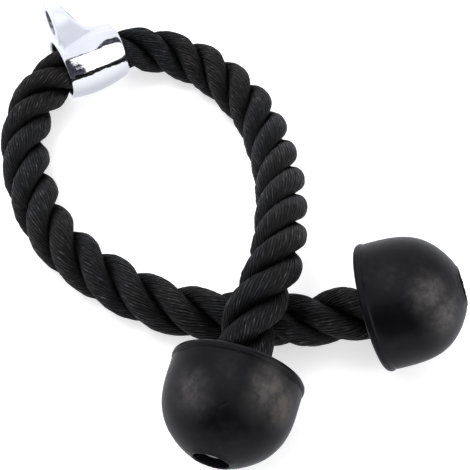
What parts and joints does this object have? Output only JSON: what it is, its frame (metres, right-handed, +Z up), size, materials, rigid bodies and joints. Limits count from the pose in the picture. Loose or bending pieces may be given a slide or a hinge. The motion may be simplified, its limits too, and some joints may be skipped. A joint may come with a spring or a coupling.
{
  "type": "triceps rope",
  "caption": "Triceps rope for a cable machine: a thick laid rope lying in a crossed loop, with a chromed eye collar at its middle and a domed rubber stop on each end.",
  "frame": {"origin": "on the surface that the rope lies on, under the middle of the bounding box of the collar and the two stops", "axes": "+Z up from that surface; +X along the collar's bore, from its wide mouth, where the eye stands, to its narrow mouth; +Y from the stops towards the collar"},
  "size_m": [0.1841, 0.3021, 0.0661],
  "materials": {
    "rope": "satin laid synthetic rope, near black",
    "stop_rubber": "satin moulded rubber, near black",
    "collar": "polished plating on a casting",
    "steel": "zinc plated"
  },
  "bodies": {
    "rope_assembly": {"rope": "rope", "rope_end_ferrule_front": "steel", "rope_end_ferrule_right": "steel", "end_washer_front": "steel", "end_washer_right": "steel", "end_screw_front": "steel", "end_screw_right": "steel"},
    "eye_collar": {"collar": "collar"},
    "front_stop": {"rubber_stop_front": "stop_rubber"},
    "right_stop": {"rubber_stop_right": "stop_rubber"}
  },
  "joints": [
    {"name": "collar_turn", "type": "hinge", "parent": "rope_assembly", "child": "eye_collar", "pos_m": [-0.02122, 0.12607, 0.0198], "axis": [1, 0, 0], "continuous": true},
    {"name": "front_stop_turn", "type": "hinge", "parent": "rope_assembly", "child": "front_stop", "pos_m": [-0.03925, -0.10899, 0.03206], "axis": [-0.6783, -0.7323, -0.06], "continuous": true},
    {"name": "right_stop_turn", "type": "hinge", "parent": "rope_assembly", "child": "right_stop", "pos_m": [0.03682, -0.10716, 0.0292], "axis": [0.8498, -0.3614, 0.3838], "continuous": true}
  ]
}
